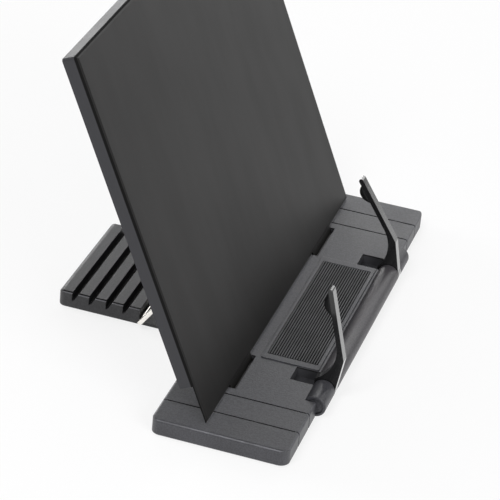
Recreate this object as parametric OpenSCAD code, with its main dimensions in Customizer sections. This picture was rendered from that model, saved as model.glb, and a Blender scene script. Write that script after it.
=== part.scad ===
// Folding desk book stand: a low crossbar with a toothed foot behind it, a hinged sheet-steel panel,
// a wire prop that stands on the teeth, and two friction-hinged page holders on a front barrel.
// Millimetres. X runs along the crossbar, Y to the rear, Z up from the desk.

/* [Crossbar] */
// Length of the crossbar
bar_len = 320; // [300:1:360]
// Depth of the crossbar, front to rear
bar_depth = 85.5; // [82:0.5:95]
// Height of the crossbar's top above the desk
bar_top = 11.5; // [11:0.1:14]
// Gap under the crossbar, filled by the rubber feet
desk_gap = 1.2; // [0.8:0.1:2]
// Wall thickness of the crossbar's cover
bar_wall = 2.2; // [1.6:0.1:2.4]
// Radius of the crossbar's top edges
bar_edge_r = 1.6; // [1:0.1:3]
// Radius of the crossbar's corners in plan
bar_corner_r = 6; // [3:0.5:8]
// Thickness of the plate that closes the underside
floor_t = 2; // [1.5:0.1:2.2]
// Distances of the decorative grooves from each end
groove_in = [22.8, 44.4];
// Width of a groove
groove_w = 1.2; // [0.6:0.1:2]
// Depth of a groove
groove_d = 0.7; // [0.3:0.1:1.2]

/* [Ratchet foot] */
// Width of the ratchet foot
rack_w = 97; // [80:1:104]
// Distance of the foot's rear end behind the crossbar's front edge
rack_rear = 187.8; // [180:0.2:200]
// Height of the teeth above the desk
rack_top = 12; // [11.4:0.1:14]
// Number of teeth
tooth_count = 5; // [3:1:5]
// Distance from one tooth to the next
tooth_pitch = 11.45; // [10:0.05:12]
// Length of the rearmost tooth
rear_tooth = 9.5; // [8:0.1:11]
// Width of a notch between two teeth
notch_w = 4.6; // [4:0.1:5.5]
// Depth of a notch
notch_d = 6; // [5:0.1:7]
// Radius of the foot's rear corners in plan
rack_corner_r = 5; // [2:0.5:6]
// Wall thickness of the foot
rack_wall = 2.4; // [1.8:0.1:3]
// Thickness of the foot's plate in front of the teeth
deck_t = 2.2; // [1.8:0.1:3]
// Radius of the foot's upper rear edge
rack_edge_r = 3.5; // [1.5:0.1:4]
// Radius of the foot's lower rear edge
rack_heel_r = 1.5; // [0.5:0.1:2]
// Width of the flat at the bottom of a notch
notch_foot = 1.2; // [0.6:0.1:2]
// Width of the ledge at each end of a tooth
ledge_w = 1.5; // [1:0.1:2]
// Depth of that ledge below the tooth's top
ledge_d = 0.9; // [0.5:0.1:1.4]
// Length of the foot's plug inside the crossbar
plug_len = 14; // [10:0.5:16]
// Thickness of the foot's plug
plug_t = 2.7; // [2:0.1:3.2]
// Distance of the plug's sides from the foot's walls
plug_in = 2; // [1:0.1:4]
// Length of the rib at the plug's root
root_len = 3; // [2:0.1:5]

/* [Panel] */
// Width of the panel
panel_w = 305; // [280:1:312]
// Length of the panel up the slope, above the hinge axis
panel_up = 244; // [220:1:260]
// Angle of the panel from the desk, as it stands
panel_tilt = 66.5; // [62:0.5:70]
// Distance of the panel's face behind the front edge, at the crossbar's top
panel_y = 52; // [51:0.2:54]
// Thickness of the steel sheet
sheet_t = 1.2; // [0.8:0.1:1.4]
// Depth of the folded rim
rim_d = 9.5; // [7:0.5:12]
// Height up the slope at which the rim starts, above the hinge axis
rim_start = 31.6; // [28:0.2:40]
// Outer radius of the rim's fold
fold_r = 2.2; // [1.5:0.1:3]
// Radius of the panel's upper corners
panel_corner_r = 1.7; // [1.6:0.1:6]

/* [Panel hinge] */
// Depth of the hinge axis below the crossbar's top
hinge_drop = 5.3; // [5:0.1:5.6]
// Width of a hinge tab
tab_w = 40; // [30:1:44]
// Distance of a hinge tab's middle from the middle of the stand
tab_x = 88; // [84:1:94]
// Radius of a hinge pin
pin_r = 1.5; // [1.2:0.1:1.6]
// How far a tab is set back behind the panel's face
tab_set = 0.15; // [0.1:0.05:0.3]
// Width of a bearing block
block_w = 8; // [5:0.5:9]
// Depth of a bearing block, front to rear
block_d = 8; // [6:0.5:9]
// Room in a tab's slot beyond the running gap
slot_room = 0.2; // [0.1:0.05:0.4]
// How far a hinge pin ends inside the outer faces of its blocks
pin_end = 0.5; // [0.2:0.1:1]

/* [Prop] */
// Diameter of the prop's wire
wire_d = 3.2; // [2.6:0.1:3.4]
// Distance of a leg from the middle of the stand
leg_x = 55; // [53:0.5:60]
// Radius of the wire's bends at its middle
wire_bend_r = 4; // [3:0.5:6]
// Height of the prop's pivot up the slope, above the hinge axis
pivot_up = 75; // [66:1:84]
// Width of a saddle strap
saddle_w = 12; // [8:0.5:14]
// Thickness of a saddle strap
saddle_t = 1; // [0.8:0.1:1.4]
// Length of a saddle's flange on each side of the wire
saddle_flange = 7; // [5:0.5:10]
// How far the wire's end stands out of its saddle
stub_end = 1; // [0.5:0.1:2]

/* [Page holders] */
// Radius of the hinge barrel
barrel_r = 7; // [6.6:0.1:7.2]
// Distance of the barrel's axis behind the front edge
barrel_y = 1.45; // [1:0.05:2]
// Height of the barrel's axis above the desk
barrel_z = 7.2; // [7.2:0.1:8]
// Length of the barrel
barrel_len = 200; // [190:1:206]
// Radius of the rim of the barrel's ends
barrel_end_r = 0.6; // [0.3:0.1:1.5]
// Width of the rim round the dished ends
barrel_rim = 1.6; // [1:0.1:2.4]
// Depth of the dished ends
barrel_dish = 1.2; // [0.5:0.1:2]
// Radius of the axle
axle_r = 2; // [1.5:0.1:2.5]
// Distance of an arm's middle from the barrel's end
arm_in = 23.9; // [22:0.1:26]
// Thickness of an arm
arm_t = 6; // [4:0.1:6.6]
// Thickness of a friction washer
washer_t = 0.5; // [0.4:0.05:0.6]
// Radius of a friction washer
washer_r = 5; // [4:0.1:6]
// How far the knee stands in front of the barrel's axis
knee_out = 10; // [9:0.1:11]
// Height of the knee above the barrel's axis
knee_up = 22.3; // [21:0.1:24]
// Length of an arm's upper strip
strip_len = 49.4; // [46:0.1:52]
// Depth of an arm's upper strip
strip_d = 3.1; // [2.8:0.1:4]
// Lean of the upper strip to the rear, from vertical
strip_lean = 14.2; // [12:0.1:16]
// Radius of the hollow of the gusset
gusset_r = 23.7; // [20:0.1:26]
// Height up the strip at which the gusset's hollow starts
gusset_start = 11; // [10:0.05:12.5]
// How far the gusset's toe stands behind and above the barrel's axis
gusset_toe = [6.6, 5.6];
// Further turn of the right arm to the rear, as it stands
right_turn = 19.5; // [15:0.5:24]
// Length of a rubber nub along the strip
nub_len = 13; // [9:0.1:15]
// Height of a rubber nub above the strip
nub_h = 4.2; // [1.5:0.1:4.8]
// Height of a nub's middle up the strip
nub_up = 38.2; // [34:0.1:40]
// Width of a rubber nub
nub_w = 6; // [4:0.1:6.6]
// Radius of a nub's peg
peg_r = 1; // [0.8:0.1:1.2]
// Depth to which a peg is rooted in its nub
peg_root = 0.5; // [0.3:0.1:0.8]
// Plastic left in front of a peg
peg_skin = 1; // [0.6:0.1:1.4]
// Width of the well behind an arm
well_w = 15.5; // [12:0.5:16]
// Distance of the well's rear wall behind the front edge
well_rear = 22.4; // [20:0.2:24]
// Thickness of a well's walls and floor
well_wall = 1.4; // [1:0.1:1.6]

/* [Grip pad] */
// Wall between the pad's frame and the well beside it
frame_gap = 0.65; // [0.5:0.05:3]
// Front edge of the pad's frame, behind the crossbar's front edge
frame_front = 8.8; // [8.6:0.1:10]
// Rear edge of the pad's frame, behind the crossbar's front edge
frame_rear = 46; // [40:0.5:47]
// Width of the frame's front and rear borders
frame_border = 2.3; // [2:0.1:3]
// Width of the frame's side borders
frame_side = 5.3; // [4:0.1:7]
// Depth to which the frame is let into the crossbar
frame_sink = 1; // [0.6:0.1:1.2]
// Height of the frame above the crossbar's top
frame_proud = 0.6; // [0.3:0.1:1]
// Number of ridges on the pad
ridge_count = 20; // [10:1:22]
// Height of a ridge above the crossbar's top
ridge_top = 0.9; // [0.6:0.1:1.6]
// Share of the ridges' pitch that a ridge takes up
ridge_share = 0.64; // [0.5:0.02:0.75]
// Depth of the pad's web below the crossbar's top
web_drop = 0.4; // [0.1:0.1:0.5]
// Radius of the frame's corners
frame_corner_r = 0.6; // [0.3:0.1:1.5]

/* [Feet and screws] */
// Radius of a rubber foot under the crossbar
foot_r = 6; // [4:0.5:7]
// Radius of a rubber foot under the ratchet foot
rack_foot_r = 5; // [4:0.5:6]
// Depth to which a rubber foot is let in
foot_sink = 0.8; // [0.4:0.1:1]
// Distance of a foot's middle from the crossbar's end
foot_in_x = 13; // [11:0.5:20]
// Distance of a foot's middle from the crossbar's front or rear edge
foot_in_y = 12.5; // [11:0.5:16]
// Distance of a rear rubber foot's middle from the ratchet foot's edges
rack_foot_in = 10.5; // [8:0.5:14]
// Distance of an outer boss from the crossbar's end
boss_in_x = 24; // [22:0.5:30]
// Distance of a front boss from the crossbar's front edge
boss_front = 20; // [18:0.5:26]
// Distance of a rear boss from the crossbar's rear edge
boss_rear = 19.5; // [16:0.5:24]
// Distance of an inner boss from the ratchet foot's plug
boss_gap = 7.6; // [5:0.1:9]
// Distance of a barrel screw behind the crossbar's front edge
lug_y = 13; // [12.5:0.1:14]
// Distance of an inner barrel lug from the middle of the stand
lug_x = 40; // [30:1:50]
// Width of an inner barrel lug
lug_w = 14; // [10:0.5:20]
// Distance of an outer barrel lug from the barrel's end
cap_lug_in = 8; // [6.5:0.1:9]
// Width of an outer barrel lug
cap_lug_w = 10; // [8:0.5:11]
// Radius of a screw's shank
screw_r = 1.2; // [1:0.1:1.4]
// Radius of a screw's head
screw_head_r = 2.5; // [2.2:0.1:2.8]
// Thickness of a screw's head
screw_head_t = 1.1; // [0.8:0.1:1.2]
// Wall round a screw in its boss
boss_wall = 2; // [1.5:0.1:2.4]
// Plastic left over a blind screw hole
hole_skin = 0.6; // [0.5:0.1:1]
// Gap between a screw's tip and the end of its hole
tip_gap = 0.4; // [0.2:0.1:0.8]
// How far a lug reaches into the barrel's wall
lug_bite = 1; // [0.6:0.1:1.5]

/* [Fits] */
// Radial clearance of a pin or axle in its bore
pin_fit = 0.05; // [0.02:0.01:0.09]
// Radial clearance of a hinge pin in its blocks
block_fit = 0.02; // [0.01:0.01:0.05]
// Gap between a rubber nub and its strip
nub_seat = 0.02; // [0.01:0.01:0.05]
// Gap between fixed pieces that seat against each other
seat_gap = 0.1; // [0.05:0.01:0.15]
// Gap between pieces that move past each other
run_gap = 0.4; // [0.3:0.05:0.6]

/* [Hidden] */
$fn = 48;

plastic = "#343436";
dark_plastic = "#262628";
rubber = "#1c1c1d";
coated_steel = "#1f1f21";
bright_steel = "#c9c9cb";

left = -1;
right = 1;
sides = [left, right];
// Overshoot of a cutting solid past the face that it cuts
cut = 1;

// Heights and corners inside the crossbar
inner_corner_r = bar_corner_r - min(bar_wall, bar_corner_r - 1);
floor_top = desk_gap + floor_t;
ceiling = bar_top - bar_wall;
inside_h = ceiling - floor_top;

// Panel hinge
lean = 90 - panel_tilt;
hinge_z = bar_top - hinge_drop;
hinge_y = panel_y - hinge_drop * tan(lean) + sheet_t / 2 / cos(lean);
knuckle_r = pin_r + pin_fit + sheet_t;
block_bore_r = pin_r + block_fit;
panel_low = (hinge_drop + run_gap) / cos(lean) + sheet_t / 2 * tan(lean);
slot_front = hinge_y - sheet_t / 2 - run_gap - slot_room;
slot_rear = hinge_y + hinge_drop * tan(lean) + sheet_t / 2 / cos(lean) + run_gap + slot_room;
block_x = [tab_x - tab_w / 2 - run_gap - block_w / 2, tab_x + tab_w / 2 + run_gap + block_w / 2];

// Ratchet foot
deck_z = desk_gap + deck_t;
notch_z = rack_top - notch_d;
front_face = rack_rear - rear_tooth - (tooth_count - 1) * tooth_pitch;
tooth_len = tooth_pitch - notch_w;
tooth_wall = 0.75 * rack_wall;
rack_start = bar_depth + seat_gap;
plug_w = rack_w - 2 * (rack_wall + plug_in);
plug_low = floor_top + seat_gap;
plug_top = plug_low + plug_t;

// Prop, from its seat in front of the foremost tooth to its pivot on the panel
wire_r = wire_d / 2;
saddle_bore_r = wire_r + pin_fit;
pivot_off = sheet_t / 2 + saddle_bore_r;
pivot_y = hinge_y + pivot_up * sin(lean) + pivot_off * cos(lean);
pivot_z = hinge_z + pivot_up * cos(lean) - pivot_off * sin(lean);
seat_y = front_face - wire_r - seat_gap;
seat_z = deck_z + wire_r + seat_gap;
prop_len = norm([seat_y - pivot_y, seat_z - pivot_z]);
prop_lean = atan2(seat_y - pivot_y, pivot_z - seat_z);
stub_x = leg_x - wire_bend_r - saddle_w - stub_end;

// Barrel and page holders
arm_x = barrel_len / 2 - arm_in;
frame_w = 2 * (arm_x - well_w / 2 - frame_gap);
arm_slot = arm_t + 2 * (washer_t + seat_gap);
slot_in = arm_x - arm_slot / 2;
slot_out = arm_x + arm_slot / 2;
cap_len = barrel_len / 2 - slot_out;
cap_lug_x = barrel_len / 2 - cap_lug_in;
lug_rear = lug_y + screw_r + boss_wall;
bay_end = barrel_len / 2 + 2;
strip_dir = [sin(strip_lean), cos(strip_lean)];
strip_side = [cos(strip_lean), -sin(strip_lean)];
knee = [-knee_out, knee_up];
gusset_top = knee + strip_d * strip_side + gusset_start * strip_dir;
// The gusset's hollow bites this far into the strip, so that the two meet at a clean edge
gusset_bite = 0.05;
// The web's front and rear edges end this far inside the hub's rim
hub_bite = 0.3;
knee_turn = atan2(knee_up, -knee_out) + acos(barrel_r / norm(knee));

// Screws and feet, in plan
boss_r = screw_r + boss_wall;
boss_x = bar_len / 2 - boss_in_x;
inner_boss_x = plug_w / 2 + boss_r + boss_gap;
boss_at = [for (s = sides) each [[s * boss_x, boss_front], [s * boss_x, bar_depth - boss_rear],
                                 [s * inner_boss_x, bar_depth - boss_rear]]];
barrel_screw_at = [for (s = sides) each [[s * lug_x, lug_y], [s * cap_lug_x, lug_y]]];
rack_screw_at = [for (x = [-plug_w / 3, 0, plug_w / 3]) [x, bar_depth - plug_len / 2]];
foot_x = bar_len / 2 - foot_in_x;
foot_at = [for (s = sides) each [[s * foot_x, foot_in_y], [s * foot_x, bar_depth - foot_in_y]]];
rack_foot_at = [for (s = sides) [s * (rack_w / 2 - rack_foot_in), rack_rear - rack_foot_in]];

// Ends of the blind screw holes
boss_hole_top = ceiling - hole_skin;
lug_hole_top = ceiling - seat_gap - hole_skin;
plug_hole_top = plug_top - hole_skin;

// The origin lies under the middle of the whole stand
front_reach = barrel_y - knee_out;
middle_y = (rack_rear + front_reach) / 2;

// Shared helpers

// Moves a piece from the crossbar's front edge to the origin of the stand
module placed() {
    translate([0, -middle_y, 0]) children();
}

// Extrudes a profile drawn in Y and Z along X, about the plane X = x
module along_x(len, x = 0) {
    translate([x, 0, 0]) rotate([90, 0, 90]) linear_extrude(len, center = true) children();
}

// Cylinder along X, about the plane X = x
module rod_x(r, len, x = 0) {
    translate([x, 0, 0]) rotate([0, 90, 0]) cylinder(r = r, h = len, center = true);
}

// Rectangle from low to high with four round corners
module round_rect(low, high, r) {
    translate([low.x + r, low.y]) square([high.x - low.x - 2 * r, high.y - low.y]);
    translate([low.x, low.y + r]) square([high.x - low.x, high.y - low.y - 2 * r]);
    for (x = [low.x + r, high.x - r], y = [low.y + r, high.y - r])
        translate([x, y]) circle(r);
}

// Rectangle from low to high with its two upper corners round
module round_top(low, high, r) {
    translate([low.x, low.y]) square([high.x - low.x, high.y - low.y - r]);
    translate([low.x + r, low.y]) square([high.x - low.x - 2 * r, high.y - low.y]);
    for (x = [low.x + r, high.x - r])
        translate([x, high.y - r]) circle(r);
}

// Box from low to high
module box(low, high) {
    translate(low) cube(high - low);
}

// Puts children at the barrel's axis
module at_barrel() {
    translate([0, barrel_y, barrel_z]) children();
}

// Turns children from the panel's own frame, with its axis at the hinge, to the leaning panel
module at_panel() {
    translate([0, hinge_y, hinge_z]) rotate([-lean, 0, 0]) children();
}

// Screw with its head down, its head's underside at z = 0 and its shank rising
module screw(len) {
    translate([0, 0, -screw_head_t]) cylinder(r = screw_head_r, h = screw_head_t);
    cylinder(r = screw_r, h = len);
}

// Crossbar

// Block with the crossbar's rounded form, smaller by inset on every side but the underside
module bar_block(inset, low) {
    half = bar_len / 2 - inset;
    edge = bar_edge_r - min(inset, bar_edge_r - 0.3);
    corner = bar_corner_r - min(inset, bar_corner_r - 1);
    intersection() {
        along_x(bar_len)
            round_top([inset, low], [bar_depth - inset, bar_top - inset], edge);
        translate([0, bar_depth / 2, 0]) rotate([90, 0, 0]) linear_extrude(bar_depth, center = true)
            round_top([-half, low], [half, bar_top - inset], edge);
        translate([0, 0, low - cut]) linear_extrude(bar_top + 2 * cut)
            round_rect([-half, inset], [half, bar_depth - inset], corner);
    }
}

// Two shallow grooves that run over each end of the crossbar
module bar_grooves() {
    for (s = sides, d = groove_in)
        along_x(groove_w, s * (bar_len / 2 - d))
            difference() {
                translate([-cut, desk_gap - cut]) square([bar_depth + 2 * cut, bar_top + 2 * cut]);
                round_top([groove_d, desk_gap - 2 * cut], [bar_depth - groove_d, bar_top - groove_d],
                          bar_edge_r);
            }
}

// Space that the barrel takes up along the front edge
module barrel_bay(gap) {
    at_barrel() {
        rod_x(barrel_r + gap, 2 * bay_end);
        translate([-bay_end, -bar_depth, -bar_top]) cube([2 * bay_end, bar_depth, 3 * bar_top]);
    }
}

// Outer form of the wells behind the two arms, grown by a margin
module wells(margin, low) {
    for (s = sides)
        box([s * arm_x - well_w / 2 - margin, 0, low],
            [s * arm_x + well_w / 2 + margin, well_rear + margin,
             bar_top + (margin > 0 ? -bar_wall / 2 : cut)]);
}

// Bearing blocks that hold the hinge pins from above
module hinge_blocks() {
    for (s = sides, x = block_x)
        difference() {
            box([s * x - block_w / 2, hinge_y - block_d / 2, floor_top + seat_gap],
                [s * x + block_w / 2, hinge_y + block_d / 2, ceiling + bar_wall / 2]);
            translate([0, hinge_y, hinge_z]) rod_x(block_bore_r, block_w + cut, s * x);
            box([s * x - block_w, hinge_y - block_bore_r, 0],
                [s * x + block_w, hinge_y + block_bore_r, hinge_z]);
        }
}

// Slots through which the panel's tabs pass into the crossbar
module tab_slots() {
    for (s = sides)
        box([s * tab_x - tab_w / 2 - run_gap, slot_front, ceiling - cut],
            [s * tab_x + tab_w / 2 + run_gap, slot_rear, bar_top + cut]);
}

module crossbar_cover() color(plastic) placed() difference() {
    union() {
        difference() {
            bar_block(0, desk_gap);
            bar_block(bar_wall, desk_gap - cut);
        }
        intersection() {
            bar_block(bar_wall / 2, floor_top + seat_gap);
            union() {
                wells(well_wall, floor_top + seat_gap);
                for (s = sides)
                    box([s * bay_end - (s < 0 ? well_wall : 0), 0, floor_top],
                        [s * bay_end + (s > 0 ? well_wall : 0), well_rear, ceiling + bar_wall / 2]);
            }
        }
        hinge_blocks();
        for (p = boss_at)
            translate([p.x, p.y, floor_top + seat_gap]) cylinder(r = boss_r, h = inside_h + bar_wall / 2);
    }
    bar_grooves();
    barrel_bay(seat_gap);
    wells(0, floor_top + well_wall);
    tab_slots();
    // Recess of the pad's frame
    box([-frame_w / 2 - seat_gap, frame_front - seat_gap, bar_top - frame_sink],
        [frame_w / 2 + seat_gap, frame_rear + seat_gap, bar_top + cut]);
    // Window for the ratchet foot's plug
    box([-plug_w / 2 - seat_gap, bar_depth - bar_wall - cut, 0],
        [plug_w / 2 + seat_gap, bar_depth + cut, plug_top + seat_gap]);
    for (p = boss_at)
        translate([p.x, p.y, 0]) cylinder(r = screw_r + pin_fit, h = boss_hole_top);
}

module crossbar_floor() color(dark_plastic) placed() difference() {
    union() {
        translate([0, 0, desk_gap]) linear_extrude(floor_t)
            round_rect([-bar_len / 2 + bar_wall + seat_gap, bar_wall + seat_gap],
                       [bar_len / 2 - bar_wall - seat_gap, bar_depth - bar_wall - seat_gap],
                       inner_corner_r - seat_gap);
        // Posts that hold the hinge pins from below
        for (s = sides, x = block_x)
            box([s * x - block_w / 4, hinge_y - pin_r + seat_gap, desk_gap + floor_t / 2],
                [s * x + block_w / 4, hinge_y + pin_r - seat_gap, hinge_z - pin_r - seat_gap / 2]);
    }
    barrel_bay(seat_gap);
    for (p = concat(boss_at, barrel_screw_at, rack_screw_at))
        translate([p.x, p.y, 0]) {
            cylinder(r = screw_r + pin_fit, h = floor_top + cut);
            cylinder(r = screw_head_r + seat_gap, h = desk_gap + screw_head_t + seat_gap);
        }
    for (p = foot_at)
        translate([p.x, p.y, 0]) cylinder(r = foot_r + seat_gap, h = desk_gap + foot_sink);
}

// Ratchet foot

// Side outline of the whole foot, up to the tops of its teeth, with a round rear end
module rack_outline() {
    translate([rack_start, desk_gap]) square([rack_rear - rack_edge_r - rack_start, rack_top - desk_gap]);
    translate([rack_start, desk_gap + rack_heel_r])
        square([rack_rear - rack_start, rack_top - desk_gap - rack_heel_r - rack_edge_r]);
    translate([rack_rear - rack_edge_r, rack_top - rack_edge_r]) circle(rack_edge_r);
    translate([rack_rear - rack_heel_r, desk_gap + rack_heel_r]) circle(rack_heel_r);
    translate([rack_rear - rack_edge_r - cut, desk_gap])
        square([rack_edge_r - rack_heel_r + cut, rack_heel_r + cut]);
}

// Side profile of the notch in front of tooth i, counted from the rear: a flat, then a ramp to the next tooth
module notch_profile(i) {
    face = rack_rear - rear_tooth - i * tooth_pitch;
    polygon([[face - notch_foot, notch_z], [face, notch_z], [face, rack_top + cut],
             [face - notch_w, rack_top + cut], [face - notch_w, rack_top]]);
}

module ratchet_foot() color(plastic) placed() difference() {
    union() {
        difference() {
            intersection() {
                along_x(rack_w) rack_outline();
                linear_extrude(rack_top + cut)
                    round_rect([-rack_w / 2, rack_start - 2 * rack_corner_r], [rack_w / 2, rack_rear],
                               rack_corner_r);
            }
            // Low plate in front of the teeth, behind the plug's root rib
            box([-rack_w, rack_start + root_len, deck_z], [rack_w, front_face, rack_top + cut]);
            box([-rack_w, 0, plug_top], [rack_w, front_face, rack_top + cut]);
            for (i = [0:tooth_count - 2])
                along_x(rack_w + cut) notch_profile(i);
            // Ledges at the ends of the teeth
            for (s = sides)
                translate([s * rack_w / 2, 0, 0])
                    box([-ledge_w, front_face - cut, rack_top - ledge_d],
                        [ledge_w, rack_rear + cut, rack_top + cut]);
        }
        // Plug that reaches into the crossbar
        box([-plug_w / 2, bar_depth - plug_len, plug_low], [plug_w / 2, rack_start + cut, plug_top]);
        box([-plug_w / 2, bar_depth - bar_wall + seat_gap / 2, desk_gap],
            [plug_w / 2, rack_start + cut, plug_top]);
    }
    // Hollow underside of each tooth
    for (i = [0:tooth_count - 1])
        let (face = rack_rear - rear_tooth - i * tooth_pitch, len = i == 0 ? rear_tooth : tooth_len)
        box([-rack_w / 2 + rack_wall, face + tooth_wall, 0],
            [rack_w / 2 - rack_wall, face + len - tooth_wall, rack_top - rack_wall]);
    for (p = rack_screw_at)
        translate([p.x, p.y, 0]) cylinder(r = screw_r + pin_fit, h = plug_hole_top);
    for (p = rack_foot_at)
        translate([p.x, p.y, 0]) cylinder(r = rack_foot_r + seat_gap, h = desk_gap + foot_sink);
}

// Grip pad

module pad_frame() color(plastic) placed()
    translate([0, 0, bar_top - frame_sink]) linear_extrude(frame_sink + frame_proud)
    difference() {
        round_rect([-frame_w / 2, frame_front], [frame_w / 2, frame_rear], frame_corner_r);
        round_rect([-frame_w / 2 + frame_side, frame_front + frame_border],
                   [frame_w / 2 - frame_side, frame_rear - frame_border], frame_corner_r / 2);
    }

module grip_pad() color(rubber) placed() {
    low = [-frame_w / 2 + frame_side + seat_gap, frame_front + frame_border + seat_gap];
    high = [frame_w / 2 - frame_side - seat_gap, frame_rear - frame_border - seat_gap];
    pitch = (high.y - low.y) / ridge_count;
    ridge = ridge_share * pitch;
    top = bar_top + ridge_top;
    along_x(high.x - low.x) {
        translate([low.y, bar_top - frame_sink]) square([high.y - low.y, frame_sink - web_drop]);
        for (i = [0:ridge_count - 1])
            translate([low.y + (i + 0.5) * pitch, 0])
                round_top([-ridge / 2, bar_top - frame_sink], [ridge / 2, top], ridge / 4);
    }
}

// Barrel and page holders

// Length of barrel about the plane X = 0, with a bore for the axle
module barrel_tube(len) {
    difference() {
        rod_x(barrel_r, len);
        rod_x(axle_r + pin_fit, len + cut);
    }
}

// Lug that ties the barrel to the crossbar's floor, with its screw hole
module barrel_lug(x, w) {
    difference() {
        box([x - w / 2, barrel_y + axle_r + lug_bite, floor_top + seat_gap],
            [x + w / 2, lug_rear, ceiling - seat_gap]);
        at_barrel() rod_x(barrel_r - lug_bite, w + cut, x);
        translate([x, lug_y, 0]) cylinder(r = screw_r + pin_fit, h = lug_hole_top);
    }
}

module barrel_cover() color(plastic) placed() {
    at_barrel() barrel_tube(2 * slot_in);
    for (s = sides)
        barrel_lug(s * lug_x, lug_w);
}

// End cap of the barrel, with a dished end and a blind bore
module barrel_cap(s) {
    at_barrel() rotate([0, s * 90, 0]) translate([0, 0, slot_out]) difference() {
        rotate_extrude() {
            square([barrel_r, cap_len - barrel_end_r]);
            square([barrel_r - barrel_end_r, cap_len]);
            intersection() {
                translate([barrel_r - barrel_end_r, cap_len - barrel_end_r]) circle(barrel_end_r);
                square([barrel_r + cut, cap_len + cut]);
            }
        }
        translate([0, 0, -cut]) cylinder(r = axle_r + pin_fit, h = cap_len - 2 * barrel_dish + cut);
        translate([0, 0, cap_len - barrel_dish]) cylinder(r = barrel_r - barrel_rim, h = barrel_dish + cut);
    }
    barrel_lug(s * cap_lug_x, cap_lug_w);
}

module left_barrel_cap() color(plastic) placed() barrel_cap(left);
module right_barrel_cap() color(plastic) placed() barrel_cap(right);

module barrel_axle() color(bright_steel) placed()
    at_barrel() rod_x(axle_r, barrel_len - 4 * barrel_dish - 2 * seat_gap);

// Two washers, one on each side of an arm's hub
module friction_washers(s) {
    at_barrel()
        for (d = sides)
            difference() {
                x = s * arm_x + d * (arm_t + washer_t + seat_gap) / 2;
                rod_x(washer_r, washer_t, x);
                rod_x(axle_r + pin_fit, washer_t + cut, x);
            }
}

module left_friction_washers() color(bright_steel) placed() friction_washers(left);
module right_friction_washers() color(bright_steel) placed() friction_washers(right);

// Side profile of an arm, about the barrel's axis: hub, gusset and upper strip
module arm_profile() {
    tip_r = strip_d / 2;
    tip = strip_len - tip_r;
    difference() {
        union() {
            circle(barrel_r);
            polygon([[barrel_r - hub_bite, 0], gusset_toe, gusset_top,
                     knee + tip * strip_dir + strip_d * strip_side, knee + tip * strip_dir, knee,
                     (barrel_r - hub_bite) * [cos(knee_turn), sin(knee_turn)]]);
            translate(knee + tip * strip_dir + tip_r * strip_side) circle(tip_r);
        }
        translate(gusset_top + (gusset_r - gusset_bite) * strip_side) circle(gusset_r);
        circle(axle_r + pin_fit);
    }
}

// Turns children from an arm's own frame to its place on the barrel
module at_arm(s) {
    translate([s * arm_x, barrel_y, barrel_z]) rotate([s > 0 ? -right_turn : 0, 0, 0]) children();
}

// Peg of a rubber nub, at the middle of the nub, along the strip's depth
module nub_peg(r) {
    at = knee + strip_d * strip_side + nub_up * strip_dir;
    translate([0, at.x, at.y]) rotate([-strip_lean, 0, 0]) rotate([90, 0, 0])
        translate([0, 0, -peg_root]) cylinder(r = r, h = peg_root + strip_d - peg_skin);
}

module arm(s) {
    at_arm(s) difference() {
        along_x(arm_t) arm_profile();
        nub_peg(peg_r + pin_fit);
    }
}

module left_arm() color(dark_plastic) placed() arm(left);
module right_arm() color(dark_plastic) placed() arm(right);

// Rubber nub: a low round cushion on the strip's rear side
module arm_pad(s) {
    nub_r = (pow(nub_len / 2, 2) + pow(nub_h, 2)) / (2 * nub_h);
    at_arm(s) {
        along_x(nub_w) translate(knee) rotate(-strip_lean) intersection() {
            translate([strip_d + nub_h - nub_r, nub_up]) circle(nub_r);
            translate([strip_d + nub_seat, nub_up - nub_len]) square([nub_h + cut, 2 * nub_len]);
        }
        nub_peg(peg_r);
    }
}

module left_arm_pad() color(rubber) placed() arm_pad(left);
module right_arm_pad() color(rubber) placed() arm_pad(right);

// Panel

// Block with the panel's folded form, smaller by inset, in the panel's own frame
module panel_block(inset) {
    half = panel_w / 2 - inset;
    top = panel_up - inset;
    face = -sheet_t / 2 + inset;
    back = rim_d - sheet_t / 2 + (inset > 0 ? cut : 0);
    bend = fold_r - inset;
    corner = panel_corner_r - inset;
    low = panel_low - (inset > 0 ? cut : 0);
    intersection() {
        translate([0, 0, low]) linear_extrude(top - low)
            rotate(180) round_top([-half, -back], [half, -face], bend);
        along_x(2 * half) rotate(90) round_top([low, -back], [top, -face], bend);
        translate([0, back + cut, 0]) rotate([90, 0, 0]) linear_extrude(back - face + 2 * cut)
            round_top([-half, low - cut], [half, top], corner);
    }
}

module panel_sheet() color(coated_steel) placed() at_panel() difference() {
    union() {
        difference() {
            panel_block(0);
            panel_block(sheet_t);
            box([-panel_w, sheet_t / 2, 0], [panel_w, rim_d + cut, rim_start]);
        }
        // Tabs with rolled knuckles
        for (s = sides) {
            box([s * tab_x - tab_w / 2, -sheet_t / 2 + tab_set, 0],
                [s * tab_x + tab_w / 2, sheet_t / 2, panel_low + sheet_t]);
            rod_x(knuckle_r, tab_w, s * tab_x);
        }
    }
    for (s = sides)
        rod_x(pin_r + pin_fit, tab_w + cut, s * tab_x);
}

module hinge_pin(s) {
    translate([0, hinge_y, hinge_z]) rod_x(pin_r, tab_w + 2 * (run_gap + block_w - pin_end), s * tab_x);
}

module left_hinge_pin() color(bright_steel) placed() hinge_pin(left);
module right_hinge_pin() color(bright_steel) placed() hinge_pin(right);

// Prop

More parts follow.
